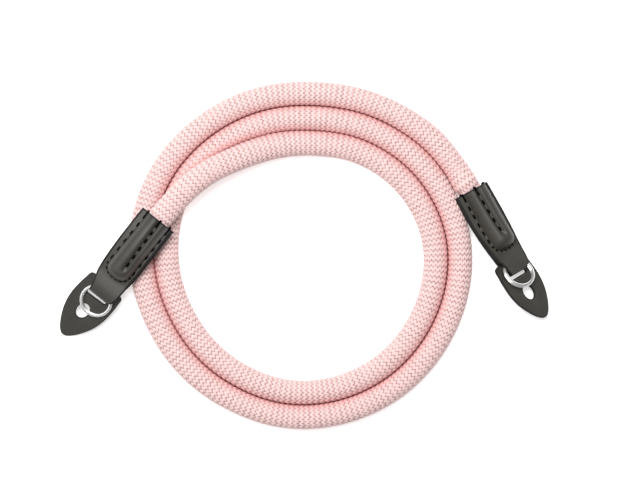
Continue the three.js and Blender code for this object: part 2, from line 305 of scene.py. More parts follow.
def unit(vectors):
    """Vectors of length 1 in the same directions."""
    return vectors / np.linalg.norm(vectors, axis=-1, keepdims=True)


def stack(*parts):
    """Points from their coordinates, one array or number for each axis."""
    return np.stack(np.broadcast_arrays(*parts), -1).astype(float)


def spline(points, steps):
    """A smooth curve through points: each span is the cubic whose end slopes follow from its neighbours, with
    the spans timed by the square root of their lengths. Gives steps samples for each span."""
    p = np.vstack([2 * points[0] - points[1], points, 2 * points[-1] - points[-2]])
    gap = np.sqrt(np.linalg.norm(np.diff(p, axis=0), axis=1))[:, None]
    p0, p1, p2, p3 = p[:-3], p[1:-2], p[2:-1], p[3:]
    a, b, c = gap[:-2], gap[1:-1], gap[2:]
    leave = ((p1 - p0) / a - (p2 - p0) / (a + b) + (p2 - p1) / b) * b
    arrive = ((p2 - p1) / b - (p3 - p1) / (b + c) + (p3 - p2) / c) * b
    t = np.linspace(0, 1, steps, endpoint=False)[None, :, None]
    p1, p2, leave, arrive = (v[:, None, :] for v in (p1, p2, leave, arrive))
    curve = (2 * t**3 - 3 * t**2 + 1) * p1 + (t**3 - 2 * t**2 + t) * leave
    curve = curve + (3 * t**2 - 2 * t**3) * p2 + (t**3 - t**2) * arrive
    return np.vstack([curve.reshape(-1, points.shape[1]), points[-1]])


def lengths_along(points):
    """The distance from the first point to each point, along the line through them."""
    return np.concatenate([[0], np.cumsum(np.linalg.norm(np.diff(points, axis=0), axis=1))])


def drooped(points, degrees):
    """Bends a straight end downwards: an arc between the two ends of BEND, and straight beyond it."""
    x, y, z = np.moveaxis(points, -1, 0)
    full = np.radians(degrees)
    radius = (BEND[1] - BEND[0]) / full
    angle = full * np.clip((x - BEND[0]) / (BEND[1] - BEND[0]), 0, 1)
    rest = np.maximum(0, x - BEND[1])
    bent_x = BEND[0] + (radius + z) * np.sin(angle) + rest * np.cos(angle)
    bent_z = (radius + z) * np.cos(angle) - radius - rest * np.sin(angle)
    far = x > BEND[0]
    return stack(np.where(far, bent_x, x), y, np.where(far, bent_z, z))


def turned(points, degrees, axis):
    """Turns points about the x, y or z axis, by the right-hand rule."""
    angle = np.radians(degrees)
    a, b = {"x": (1, 2), "y": (2, 0), "z": (0, 1)}[axis]
    out = np.array(points, float)
    out[..., a] = points[..., a] * np.cos(angle) - points[..., b] * np.sin(angle)
    out[..., b] = points[..., a] * np.sin(angle) + points[..., b] * np.cos(angle)
    return out


def placed(points, end):
    """From an end's drooped frame to the table: rolled about its own axis, then turned to its heading."""
    return turned(turned(points, end["roll"], "x"), end["heading"], "z") + np.array(end["at"])


def laid(points, end):
    """From an end's straight frame to the table, with the sleeve twisted back."""
    twist = end["twist"] * (1 - smooth((points[..., 0] - TWIST[0]) / (TWIST[1] - TWIST[0])))
    return placed(turned(drooped(points, end["droop"]), twist, "x"), end)


def laid_at_slot(points, end):
    """From the frame of the guard's slot to the table."""
    slot = drooped(np.array([SLOT_AT, 0.0, 0.0]), end["droop"])
    return placed(turned(points, end["droop"], "y") + slot, end)


def hump_share(x, y):
    """How much of the sleeve's hump there is at a place, 0 to 1: one less the powers of how far the place is
    across the hump and past the start of its round end, all to a power below one."""
    across = np.abs(2 * (y - HUMP["left"]) / (HUMP["right"] - HUMP["left"]) - 1)
    past = np.maximum(0, (x - HUMP["round_from"]) / HUMP["round_length"])
    share = 1 - across ** HUMP_POWERS["across"] - past ** HUMP_POWERS["end"]
    return np.maximum(0, share) ** HUMP_POWERS["flank"]


def groove_share(x, y, groove):
    """The dent of the middle stitch row: a bell across the row, which fades out at its end."""
    fade = smooth(1 - (x - GROOVE["end"]) / GROOVE["fade"])
    middle = groove[0] + (groove[1] - groove[0]) * x / GROOVE["end"]
    return fade * np.exp(-(((y - middle) / GROOVE["width"]) ** 2))


def hump_above(x, y, groove):
    """How far the sleeve's upper side rises over its flat part: the hump less the groove's dent, which is
    full where the hump's share is a half or more."""
    share = hump_share(x, y)
    return HUMP["above"] * share - GROOVE["depth"] * groove_share(x, y, groove) * np.minimum(1, 2 * share)


# Meshes


def new_piece(name, vertices, faces, materials, uv=None, second=None):
    """A mesh object from millimetres. uv is one pair for each face corner, and second says for each face
    whether it takes the second material."""
    mesh = bpy.data.meshes.new(name)
    mesh.from_pydata(np.asarray(vertices) * MM, [], faces)
    for material in materials:
        mesh.materials.append(material)
    if uv is not None:
        mesh.uv_layers.new(name="strands").data.foreach_set("uv", np.asarray(uv, np.float32).ravel())
    if second is not None:
        mesh.polygons.foreach_set("material_index", np.asarray(second, np.int32))
    mesh.polygons.foreach_set("use_smooth", np.ones(len(mesh.polygons), bool))
    mesh.validate()
    mesh.update()
    piece = bpy.data.objects.new(name, mesh)
    bpy.context.scene.collection.objects.link(piece)
    return piece


def grid_faces(rows, columns):
    """The quads of a grid of points, row by row. The last column joins the first."""
    i, j = np.meshgrid(np.arange(rows - 1), np.arange(columns), indexing="ij")
    i, j = i.ravel(), j.ravel()
    k = (j + 1) % columns
    return np.stack([i * columns + j, i * columns + k, (i + 1) * columns + k, (i + 1) * columns + j], -1)


def keep(piece, slot, *nodes):
    """Gives a piece its body, and hides the nodes that it stands for, if any. The slot is not used."""
    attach(piece, BODY)
    if nodes:
        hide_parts(*nodes)


# Shaders


class Wire:
    """A socket that holds a number. Plain arithmetic on it adds Math nodes."""

    def __init__(self, finish, socket):
        self.finish, self.socket = finish, socket

    def math(self, operation, *values):
        return self.finish.node("ShaderNodeMath", {"operation": operation}, *values)

    def __add__(self, other):
        return self.math("ADD", self, other)

    def __sub__(self, other):
        return self.math("SUBTRACT", self, other)

    def __rsub__(self, other):
        return self.math("SUBTRACT", other, self)

    def __mul__(self, other):
        return self.math("MULTIPLY", self, other)

    __radd__, __rmul__ = __add__, __mul__

    def from_edge(self):
        """The distance to the nearest whole number, 0 to 0.5."""
        return self.math("PINGPONG", self, 0.5)

    def clamped(self):
        """The number, kept between 0 and 1."""
        return self.math("MINIMUM", self.math("MAXIMUM", self, 0.0), 1.0)

    def step(self, low, high):
        """0 below low, 1 above high, and a soft step between them."""
        settings = {"interpolation_type": "SMOOTHSTEP"}
        return self.finish.node("ShaderNodeMapRange", settings, self, low, high)


class Finish:
    """A material under construction, around one Principled BSDF."""

    def __init__(self, name):
        self.material = bpy.data.materials.new(name)
        self.material.use_nodes = True
        self.tree = self.material.node_tree
        self.shader = next(n for n in self.tree.nodes if n.type == "BSDF_PRINCIPLED")

    def feed(self, socket, value):
        """Links a wire to a socket, or sets the socket to a value. Nothing is done for None."""
        if isinstance(value, Wire):
            self.tree.links.new(value.socket, socket)
        elif value is not None:
            socket.default_value = value

    def node(self, kind, settings, *inputs, output=0, **named):
        """Adds a node: its settings first, then the values or links of its sockets, in order or by name."""
        node = self.tree.nodes.new(kind)
        for name, value in settings.items():
            setattr(node, name, value)
        for socket, value in zip(node.inputs, inputs):
            self.feed(socket, value)
        for name, value in named.items():
            self.feed(node.inputs[name.replace("_", " ")], value)
        return Wire(self, node.outputs[output])

    def place(self):
        """The place on the piece."""
        return self.node("ShaderNodeTexCoord", {}, output="Object")

    def noise(self, at, scale, detail=2.0, roughness=0.5):
        return self.node("ShaderNodeTexNoise", {}, Vector=at, Scale=scale, Detail=detail, Roughness=roughness)

    def strands(self):
        """The two numbers of the UV: along the piece and round it."""
        along = self.node("ShaderNodeSeparateXYZ", {}, self.node("ShaderNodeUVMap", {"uv_map": "strands"}))
        return along, Wire(self, along.socket.node.outputs[1])

    def mix(self, share, first, second):
        """A colour between two colours. The sockets between the share and the colours are for other data."""
        others = [None] * 5
        return self.node("ShaderNodeMix", {"data_type": "RGBA"}, share, *others, first, second, output=2)

    def bump(self, height, distance, strength=1.0):
        return self.node("ShaderNodeBump", {}, Strength=strength, Distance=distance, Height=height)

    def finish(self, **sockets):
        """Feeds the shader's sockets by name, and gives the material."""
        for name, value in sockets.items():
            self.feed(self.shader.inputs[name.replace("_", " ")], value)
        return self.material


def rgba(colour, share=1.0):
    """An opaque colour, made darker or lighter by the share."""
    return (*(part * share for part in colour), 1.0)


def braid_finish(rope):
    """Pink braid. Its UV counts the ridges along the rope and the columns round it. Shade is painted darker
    into the gaps between the ridges, the tucked sides of the columns and the grooves between the yarns. Near
    the next turn of the coil a redder painted shade stands in for light bounced between the turns, and where
    they touch a deep red painted shade fills the line between them."""
    f = Finish("braid")
    along, around = f.strands()
    from_gap, from_side = along.from_edge(), around.from_edge()
    gap = 1 - from_gap.step(0.03, 0.24)
    tuck = 1 - from_side.step(0.0, 0.2)
    place = f.place()
    fuzz = f.noise(place, scale=2600, detail=3.0, roughness=0.7)
    patch = f.noise(place, scale=60)
    clear = f.noise(place, scale=420).step(0.3, 0.68)
    yarns = (along * rope.yarns).from_edge() * 2
    # dark is painted shade in the gaps between ridges, at the tucked sides of the columns and between the
    # yarns, with a random fuzz of tone on top
    dark = gap * (clear * 0.45 + tuck * 0.5 + 0.35) + tuck * 0.12 + (1 - yarns) * 0.12 + (fuzz - 0.5) * 0.45
    strand = f.mix((patch - 0.5) * 0.5 + 0.5, rgba(rope.colour), rgba(rope.second_colour))
    crowding = f.node("ShaderNodeAttribute", {"attribute_name": "crowding"}, output="Fac")
    # The gaps take the painted gap shade colour
    colour = f.mix(dark.clamped(), strand, rgba(rope.gap_shade_colour))
    # Painted shade near the next turn of the coil, redder as by light bounced between the turns, then a deep
    # red painted shade where the turns touch
    colour = f.mix(crowding.step(0.05, 0.85) * 0.7, colour, rgba(rope.near_shade_colour))
    colour = f.mix(crowding.step(0.52, 0.92), colour, rgba(rope.touching_shade_colour))
    height = from_gap.step(0.0, 0.4) * 0.6 + from_side.step(0.0, 0.45) * 0.25 + yarns * 0.22 + fuzz * 0.2
    return f.finish(
        Base_Color=colour,
        Roughness=0.8,
        Normal=f.bump(height, 0.00028, 0.9),
        Sheen_Weight=0.2,
        Sheen_Roughness=0.4,
        Specular_IOR_Level=0.2,
    )


def leather_finish(leather, name, dark=1.0):
    """Smooth coated leather: a fine pebble grain, a little lighter where it is worn, with a satin sheen."""
    f = Finish(name)
    place = f.place()
    pebble = f.node("ShaderNodeTexVoronoi", {"feature": "DISTANCE_TO_EDGE"}, Vector=place, Scale=1700)
    soft = f.noise(place, scale=900, detail=3.0)
    cloud = f.noise(place, scale=110, detail=3.0)
    worn = 1.5 * dark
    share = (cloud.step(0.35, 0.7) * 0.6 + soft * 0.3).clamped()
    height = pebble.step(0.0, 0.25) * 0.5 + soft * 0.5 + cloud * 0.8
    return f.finish(
        Base_Color=f.mix(share, rgba(leather.colour, dark), rgba(leather.colour, worn)),
        Roughness=soft * 0.12 + 0.42,
        Normal=f.bump(height, 0.00006, leather.grain),
        Specular_IOR_Level=0.42,
    )


def edge_finish(leather):
    """Painted leather edge: black, a little glossy, and slightly uneven."""
    f = Finish("edge_paint")
    place = f.place()
    lumps = f.noise(place, scale=700)
    colour = f.mix(lumps, rgba(leather.edge_colour), rgba(leather.edge_colour, 2.2))
    bump = f.bump(lumps, 0.00005)
    return f.finish(Base_Color=colour, Roughness=lumps * 0.15 + 0.4, Normal=bump, Specular_IOR_Level=0.12)


def thread_finish(stitch):
    """Black waxed thread, twisted from two plies, with painted shade in the grooves between the plies."""
    f = Finish("thread")
    along, around = f.strands()
    ply = (along * 4 + around * 2).from_edge()
    # Painted shade: the thread is darker in the grooves between its plies
    colour = f.mix(ply * 2, rgba(stitch.colour, 0.5), rgba(stitch.colour))
    return f.finish(Base_Color=colour, Roughness=0.6, Normal=f.bump(ply, 0.0001), Specular_IOR_Level=0.03)


def wire_finish(ring):
    """Nickel plated wire with faint rubbed streaks."""
    f = Finish("ring_wire")
    streaks = f.noise(f.place(), scale=500, detail=3.0)
    colour = f.mix(streaks, rgba(ring.colour), rgba(ring.colour, 0.93))
    return f.finish(Base_Color=colour, Roughness=streaks * 0.05 + 0.27, Metallic=1.0)


# Sizes and colours that a user would change


def length_setting(label, text, metres):
    return bpy.props.FloatProperty(
        name=label, description=text, default=metres, unit="LENGTH", subtype="DISTANCE"
    )


def colour_setting(label, text, colour):
    return bpy.props.FloatVectorProperty(
        name=label, description=text, default=colour, subtype="COLOR", size=3, min=0, max=1
    )


def number_setting(label, text, number, **more):
    return bpy.props.FloatProperty(name=label, description=text, default=number, **more)


def group_setting(label, text, group):
    return bpy.props.PointerProperty(name=label, description=text, type=group)


class RopeSettings(bpy.types.PropertyGroup):
    pitch: length_setting("Ridge pitch", "Distance along the rope from ridge to ridge of the braid", 0.00219)
    columns: bpy.props.IntProperty(
        name="Columns", description="Columns of slanted strands round the rope, even", default=32, min=8
    )
    slant: number_setting("Slant", "How far a ridge runs along the rope in one column, in pitches", 0.5)
    relief: length_setting("Relief", "Depth of the gap between two ridges", 0.0004)
    yarns: number_setting("Yarns", "Yarns that lie side by side in one ridge", 4)
    colour: colour_setting("Colour", "Colour of the strands", (0.82, 0.625, 0.615))
    second_colour: colour_setting("Second colour", "Colour that the strands drift to", (0.82, 0.565, 0.545))
    # Painted shade between the strands
    gap_shade_colour: colour_setting("Gap colour", "Colour between the strands", (0.3, 0.145, 0.135))
    # Painted shade near the next turn of the coil, and where the turns touch
    near_shade_colour: colour_setting("Near colour", "Colour close to the next turn", (0.62, 0.2, 0.19))
    touching_shade_colour: colour_setting("Touching colour", "Colour where turns touch", (0.15, 0.006, 0.009))


class LeatherSettings(bpy.types.PropertyGroup):
    colour: colour_setting("Colour", "Colour of the leather", (0.03, 0.0275, 0.0225))
    edge_colour: colour_setting("Edge colour", "Colour of the painted edges", (0.009, 0.0088, 0.0085))
    grain: number_setting("Grain", "Strength of the leather's grain", 0.6, min=0)


class StitchSettings(bpy.types.PropertyGroup):
    width: length_setting("Thread width", "Width of one stitch", 0.001)
    length: length_setting("Stitch length", "Visible length of one stitch", 0.0024)
    spacing: length_setting("Spacing", "Distance between stitches on the straight rows", 0.0038)
    bend_spacing: length_setting("Bend spacing", "Distance between stitches round the bend", 0.0019)
    colour: colour_setting("Colour", "Colour of the thread", (0.0018, 0.0018, 0.002))


class RingSettings(bpy.types.PropertyGroup):
    wire: length_setting("Wire", "Width of the ring's wire", 0.00135)
    colour: colour_setting("Colour", "Colour of the plating", (0.87, 0.87, 0.86))


class StageSettings(bpy.types.PropertyGroup):
    distance: length_setting("Camera distance", "Height of the camera over the table", 2.0)
    floor_colour: colour_setting("Table colour", "Colour of the table", (0.93, 0.93, 0.93))
    key: number_setting("Key light", "Power of the main soft light", 20, unit="POWER")
    fill: number_setting("Fill light", "Power of the light across from it", 3.2, unit="POWER")
    sky: number_setting("Room light", "Strength of the even light of the room", 0.3)
    glow: number_setting("Table glow", "Light that the lit table gives by itself", 0.5)


class StrapSettings(bpy.types.PropertyGroup):
    rope: group_setting("Rope", "The braided rope", RopeSettings)
    leather: group_setting("Leather", "The leather ends and guards", LeatherSettings)
    stitch: group_setting("Stitches", "The seams of the sleeves", StitchSettings)
    ring: group_setting("Rings", "The split rings", RingSettings)
    stage: group_setting("Stage", "Table, lights and camera", StageSettings)


# Rope


def coil_axis(degrees):
    """The rope's axis in the coil, round the coil's middle at the radius and the height of its rows."""
    angle = np.radians(degrees)
    radius = between(COIL, "deg", "radius", degrees)
    height = between(COIL, "deg", "height", degrees)
    return stack(COIL_CENTRE[0] + radius * np.cos(angle), COIL_CENTRE[1] + radius * np.sin(angle), height)


def rope_stations():
    """The points of the rope's route, which way is up at each of them, and how much it is pressed there."""

    def in_sleeve(end, xs):
        """The rope's places along a sleeve, and the way up there."""
        here = np.array([[x, PRESSED["y"] + end["rope_aside"] * (x < 0), PRESSED["z"]] for x in xs])
        points = laid(here, end)
        return points, laid(here + [0, 0, 1], end) - points

    coil = coil_axis(np.arange(COIL["deg"][0], COIL["deg"][-1] + 1, COIL_STEP_DEG))
    sleeve = (ROPE_OUTSIDE, *ROPE_IN_SLEEVE)
    left, left_up = in_sleeve(ENDS["left"], sleeve)
    right, right_up = in_sleeve(ENDS["right"], sleeve)
    inside = np.array([0.0] + [1.0] * len(ROPE_IN_SLEEVE))
    points = np.concatenate([right[::-1], coil, left])
    ups = np.concatenate([right_up[::-1], np.tile([0.0, 0.0, 1.0], (len(coil), 1)), left_up])
    return points, ups, np.concatenate([inside[::-1], np.zeros(len(coil)), inside])


def rope_centreline(steps=120):
    """The route as closely spaced points, with the up direction and the pressing at each of them."""
    points, ups, pressed = rope_stations()
    fine = spline(points, steps)
    at = np.linspace(0, len(points) - 1, len(fine))
    whole = np.minimum(at.astype(int), len(points) - 2)
    share = smooth(at - whole)[:, None]
    press = pressed[whole] * (1 - share[:, 0]) + pressed[whole + 1] * share[:, 0]
    up = unit(ups[whole] * (1 - share) + ups[whole + 1] * share)
    return fine, up, press


def gap_to_next_turn(points, centre):
    """The gap between each surface point and the next turn of the coil. The turns outside and inside are one
    round earlier and later on the route, and the gap is the distance to their axis, less their radius."""
    x, y = centre[:, 0, 0] - COIL_CENTRE[0], centre[:, 0, 1] - COIL_CENTRE[1]
    in_coil = (COIL["deg"][0], COIL["deg"][-1])
    degrees = np.degrees(np.unwrap(np.arctan2(y, x)))
    degrees = degrees - 360 * np.round((degrees[len(degrees) // 2] - np.mean(in_coil)) / 360)
    closest = np.full(points.shape[:2], np.inf)
    for other in (degrees - 360, degrees + 360):
        gap = np.linalg.norm(points - coil_axis(other)[:, None], axis=-1) - ROPE_RADIUS * WIDENED
        there = (other >= in_coil[0]) & (other <= in_coil[1])
        closest = np.where(there[:, None], np.minimum(closest, gap), closest)
    return np.maximum(closest, 0)


def rope_surface(rope):
    """The braid as a tube of ridges. A point is at i / 3 ridges along the rope and j / 2 columns round it.
    Its place along the rope is sheared back and forth, by half the slant either way at the sides of a column,
    so the ridges zigzag. Every third row sinks between two ridges, and the sides of the columns sink a little
    too. Towards the next turn of the coil the section swells by a share of the gap, times a soft step of the
    gap and a power of the cosine, and is less deeply ridged. The crowding is an exponential of the gap, 1
    where the turns touch."""
    line, up, press = rope_centreline()
    along = lengths_along(line)
    ridges = int(along[-1] / (rope.pitch / MM))
    pitch = along[-1] / ridges
    i, j = np.meshgrid(np.arange(3 * ridges + 1), np.arange(2 * rope.columns), indexing="ij")
    side = np.where(j % 4 == 0, 0.5, np.where(j % 4 == 2, -0.5, 0.0))
    at = np.clip(pitch * (i / 3 + side * rope.slant), 0, along[-1])
    heading = unit(np.gradient(line, along, axis=0))
    left = unit(np.cross(up, heading))
    above = np.cross(heading, left)
    frames = (line, left, above)
    centre, left, above = (stack(*(np.interp(at, along, v[:, k]) for k in range(3))) for v in frames)
    squeeze = np.interp(at, along, press)[..., None]
    turn = (np.pi * j / rope.columns)[..., None]
    across = ROPE_RADIUS * np.cos(turn) * (WIDENED + squeeze * (PRESSED["across"] - WIDENED))
    over = ROPE_RADIUS * np.sin(turn) * (1 + squeeze * (PRESSED["up"] - 1))
    outwards = across * left + over * above
    gap = np.minimum(gap_to_next_turn(centre + outwards, centre), NO_NEIGHBOUR)
    crowding = np.exp(-gap / CROWDING_FADE)
    swelling = SWELLING * gap * smooth(1 - gap / SWELLING_REACH) * np.cos(turn[..., 0]) ** SWELLING_POWER
    ridged = 1 - crowding**RIDGELESS_POWER
    sunk = rope.relief / MM * ((i % 3 == 0) + COLUMN_DEPTH * (j % 2 == 0)) * ridged
    return centre + outwards * (1 + (swelling - sunk) / ROPE_RADIUS)[..., None], crowding, line


class STRAP_OT_rope(bpy.types.Operator):
    """The braided rope, in its coil and into both sleeves"""

    bl_idname = "strap.rope"
    bl_label = "Rope"

    def execute(self, context):
        rope = context.scene.strap.rope
        points, crowding, line = rope_surface(rope)
        rows, columns = points.shape[:2]
        quads = grid_faces(rows, columns)
        start, finish = list(range(columns)), list(range((rows - 1) * columns, rows * columns))
        faces = [*quads.tolist(), start, finish[::-1]]
        i, j = quads[:, 0] // columns, quads[:, 0] % columns
        corners = stack(stack(i, i, i + 1, i + 1) / 3, stack(j, j + 1, j + 1, j) / 2).reshape(-1, 2)
        uv = np.vstack([corners, np.zeros((2 * columns, 2))])
        piece = new_piece("braided_rope", points.reshape(-1, 3), faces, [braid_finish(rope)], uv)
        piece.data.attributes.new("crowding", "FLOAT", "POINT").data.foreach_set("value", crowding.ravel())
        keep(piece, "rope", "rope")
        route = line[::ROUTE_STEP] * MM
        return {"FINISHED"}


# Leather ends


def strip_rows(mouth):
    """The leather strip's outer side at even steps from one end of the strip to the other: where it is, its
    two edges, and the distance along it. Near the mouth x is stretched, in proportion, to start there."""
    stretched = mouth + STRIP["x"] * (1 - mouth / MOUTH_STRETCH_FROM)
    x = np.where(STRIP["x"] < MOUTH_STRETCH_FROM, stretched, STRIP["x"])
    fine = spline(np.stack([x, STRIP["z"], STRIP["left"], STRIP["right"]], -1), steps=16)
    along = lengths_along(fine[:, :2])
    at = np.linspace(0, along[-1], STRIP_ROWS)
    return (*(np.interp(at, along, fine[:, k]) for k in range(4)), at)


def strip_surface(end, round_steps=5):
    """The folded leather strip as a closed loop of points for each step along it. The outer side is at x and
    z of the strip's rows, raised by the hump on the top layer and lowered by it on the bottom layer, and
    pushed sideways where the fold leans. The inner side is two half thicknesses below it along the surface's
    normal, and half rings join them at the two edges. Also says which points of a loop, and which rows, are
    painted."""
    x, z, left, right, along = strip_rows(end["mouth"])
    share = np.linspace(-1, 1, STRIP_COLUMNS)
    y = np.where(share < 0, -share * left[:, None], share * right[:, None])
    top = (np.arange(STRIP_ROWS) < np.argmax(x))[:, None]
    lifted = np.where(top, np.maximum(0, z - LAYER_TOP)[:, None], 0)
    x = np.repeat(x[:, None], STRIP_COLUMNS, 1)
    z = z[:, None] + np.where(top, hump_above(x, y, end["groove"]), -HUMP["below"] * hump_share(x, y))
    outer = stack(x, y - end["lean"] * lifted, z)
    sideways = np.gradient(outer, axis=1)
    normal = unit(np.cross(np.gradient(outer, axis=0), sideways))
    middle = outer - LEATHER_HALF * normal
    angle = np.linspace(np.pi / 2, -np.pi / 2, round_steps + 2)[1:-1]

    def edge(column, sign, angles):
        """A half ring round one edge, flatter than a circle."""
        centre, up, out = (v[:, column, None] for v in (middle, normal, sign * unit(sideways)))
        a = angles[None, :, None]
        return centre + LEATHER_HALF * (np.sin(a) * up + EDGE_BULGE * np.cos(a) * out)

    inner = middle - LEATHER_HALF * normal
    loop = np.concatenate([outer, edge(-1, 1, angle), inner[:, ::-1], edge(0, -1, angle[::-1])], axis=1)
    column_width = 2 * STRIP["right"][0] / STRIP_COLUMNS
    margin = int(np.ceil(PAINTED_MARGIN / column_width))
    painted = np.zeros(loop.shape[1], bool)
    painted[STRIP_COLUMNS - 1 - margin : STRIP_COLUMNS + round_steps + margin] = True
    painted[2 * STRIP_COLUMNS + round_steps - 1 - margin :] = True
    painted[:margin] = True
    return loop, painted, np.minimum(along, along[-1] - along) < PAINTED_MARGIN


def strip_caps(first, across, round_steps):
    """Closes the far end of the strip: quads between its two sides and one face at each edge."""
    total = 2 * (across + round_steps)
    inner = 2 * across + round_steps - 1
    faces = [[first + j, first + j + 1, first + inner - j - 1, first + inner - j] for j in range(across - 1)]
    faces.append([first + across - 1 + k for k in range(round_steps + 2)])
    faces.append([first + (inner + k) % total for k in range(round_steps + 2)])
    return faces


class STRAP_OT_leather_ends(bpy.types.Operator):
    """The two leather strips: a sleeve over the rope's end, and a tongue folded round the ring"""

    bl_idname = "strap.leather_ends"
    bl_label = "Leather ends"

    def execute(self, context):
        leather = context.scene.strap.leather
        materials = [leather_finish(leather, "end_leather"), edge_finish(leather)]
        for name, end in ENDS.items():
            loop, painted, painted_rows = strip_surface(end)
            rows, columns = loop.shape[:2]
            quads = grid_faces(rows, columns)
            round_steps = columns // 2 - STRIP_COLUMNS
            caps = [face[::-1] for face in strip_caps(0, STRIP_COLUMNS, round_steps)]
            caps += strip_caps((rows - 1) * columns, STRIP_COLUMNS, round_steps)
            faces = [*quads.tolist(), *caps]
            second = painted[quads[:, 0] % columns] | painted_rows[quads[:, 0] // columns]
            second = [*second, *[True] * len(caps)]
            points = laid(loop, end).reshape(-1, 3)
            piece = new_piece(f"{name}_leather_end", points, faces, materials, second=second)
            keep(piece, "leather", f"{name}_tab")
        return {"FINISHED"}


# Stitches


def seam_rows(stitch, end, steps=80):
    """The stitches of an end in its straight frame, as their middles, directions and lengths: a row down each
    side of the hump, a closer row round its end, and a row along its groove. Also where the rows meet the
    mouth. The bend is the hump's outline, from the powers of the sine and the cosine."""
    turn = np.linspace(-np.pi / 2, np.pi / 2, steps)
    half = (HUMP["right"] - HUMP["left"]) / 2 + SEAM_OFFSET
    middle = (HUMP["right"] + HUMP["left"]) / 2
    reach = HUMP["round_length"] + SEAM_OFFSET
    bend_x = HUMP["round_from"] + reach * np.cos(turn) ** (2 / HUMP_POWERS["end"])
    bend_y = middle + half * np.sign(np.sin(turn)) * np.abs(np.sin(turn)) ** (2 / HUMP_POWERS["across"])
    at_mouth = (bend_y[0], end["groove"][0], bend_y[-1])
    row_ends = (
        (bend_x[0], bend_y[0]),
        (GROOVE["end"] + SEAM_BEYOND_GROOVE, end["groove"][1]),
        (bend_x[-1], bend_y[-1]),
    )
    spacing, length = stitch.spacing / MM, stitch.length / MM
    close = stitch.bend_spacing / stitch.spacing
    straight = [np.array([[end["mouth"], start], stop]) for start, stop in zip(at_mouth, row_ends)]
    rows = [(line, spacing, length) for line in straight]
    rows.append((np.stack([bend_x, bend_y], -1), spacing * close, length * close))
    found = []
    for line, spacing, length in rows:
        along = lengths_along(line)
        count = int(along[-1] / spacing)
        at = (np.arange(count) + FIRST_STITCH) * along[-1] / count
        near = (at + LOOK_AHEAD, at - LOOK_AHEAD)
        ahead, behind = (stack(*(np.interp(place, along, line[:, k]) for k in (0, 1))) for place in near)
        found.append(((ahead + behind) / 2, unit(ahead - behind), np.full(count, length)))
    return *(np.concatenate(parts) for parts in zip(*found)), at_mouth


def wrap_shape(mouth, y, top, bottom, width, steps=22, sides=8):
    """The thread that goes over the mouth's edge: a tube along a flattened half ring from the leather's upper
    side, round its edge and back below it. The ring's reach follows the root of the cosine."""
    turn = np.linspace(-np.pi / 2, np.pi / 2, steps)
    x = mouth + WRAP["start"] - WRAP["reach"] * np.sqrt(np.cos(turn))
    line = stack(x, y, (top + bottom) / 2 + (top - bottom) / 2 * np.sin(turn))
    heading = unit(np.gradient(line, axis=0))[:, None]
    side = np.array([0.0, 1.0, 0.0])
    v = np.linspace(0, 2 * np.pi, sides, endpoint=False)[None, :, None]
    return line[:, None] + width / 2 * (np.cos(v) * np.cross(side, heading) + np.sin(v) * side)


def stitch_shape(width, sides=8, rings=9):
    """One stitch of unit length: a round thread whose middle line is a low arch, which drops with the square
    of the place along it. Its section shrinks towards the ends with the root of one less a power of that
    place."""
    u = np.linspace(-1, 1, rings)[:, None]
    v = np.linspace(0, 2 * np.pi, sides, endpoint=False)[None]
    thick = width / 2 * np.sqrt(np.maximum(ARCH["least"], 1 - u ** ARCH["power"]))
    up = ARCH["flat"] * thick * np.sin(v) - ARCH["drop"] * width * u**2 + ARCH["rise"] * width
    return stack(u / 2, thick * np.cos(v), up)


def tubes(name, shapes, material):
    """Closed tubes as one mesh. Each shape is a grid of points: rings along the tube, points round each."""
    vertices, faces, uv, first = [], [], [], 0
    for shape in shapes:
        rings, sides = shape.shape[:2]
        quads = grid_faces(rings, sides)
        i, j = quads[:, 0] // sides, quads[:, 0] % sides
        uv.append(stack(stack(i, i, i + 1, i + 1) / rings, stack(j, j + 1, j + 1, j) / sides).reshape(-1, 2))
        uv.append(np.zeros((2 * sides, 2)))
        faces += (quads + first).tolist()
        faces.append(list(range(first, first + sides)))
        faces.append(list(range(first + (rings - 1) * sides, first + rings * sides))[::-1])
        vertices.append(shape.reshape(-1, 3))
        first += rings * sides
    return new_piece(name, np.concatenate(vertices), faces, [material], np.concatenate(uv))


class STRAP_OT_stitches(bpy.types.Operator):
    """The black stitches of the two sleeves, and the threads over their mouths"""

    bl_idname = "strap.stitches"
    bl_label = "Stitches"

    def execute(self, context):
        stitch = context.scene.strap.stitch
        thread = thread_finish(stitch)
        width = stitch.width / MM
        shape = stitch_shape(width)
        for name, end in ENDS.items():
            middle, heading, length, at_mouth = seam_rows(stitch, end)
            x, y = middle[:, 0, None, None], middle[:, 1, None, None]
            ahead, aside = heading[:, 0, None, None], heading[:, 1, None, None]
            reach = shape[..., 0] * length[:, None, None]
            ground = LAYER_TOP + hump_above(middle[:, 0], middle[:, 1], end["groove"])[:, None, None]
            x, y = x + reach * ahead - shape[..., 1] * aside, y + reach * aside + shape[..., 1] * ahead
            shapes = list(stack(x, y, ground + shape[..., 2]))
            off = WRAP["off"] * width
            for across in at_mouth:
                top = LAYER_TOP + hump_above(0.0, across, end["groove"]) + off
                inside = top - 2 * LEATHER_HALF - off
                bottom = inside if across == end["groove"][0] else -top
                shapes.append(wrap_shape(end["mouth"], across, top, bottom, width))
            piece = tubes(f"{name}_stitches", [laid(straight, end) for straight in shapes], thread)
            keep(piece, "leather")
        return {"FINISHED"}


# Guards


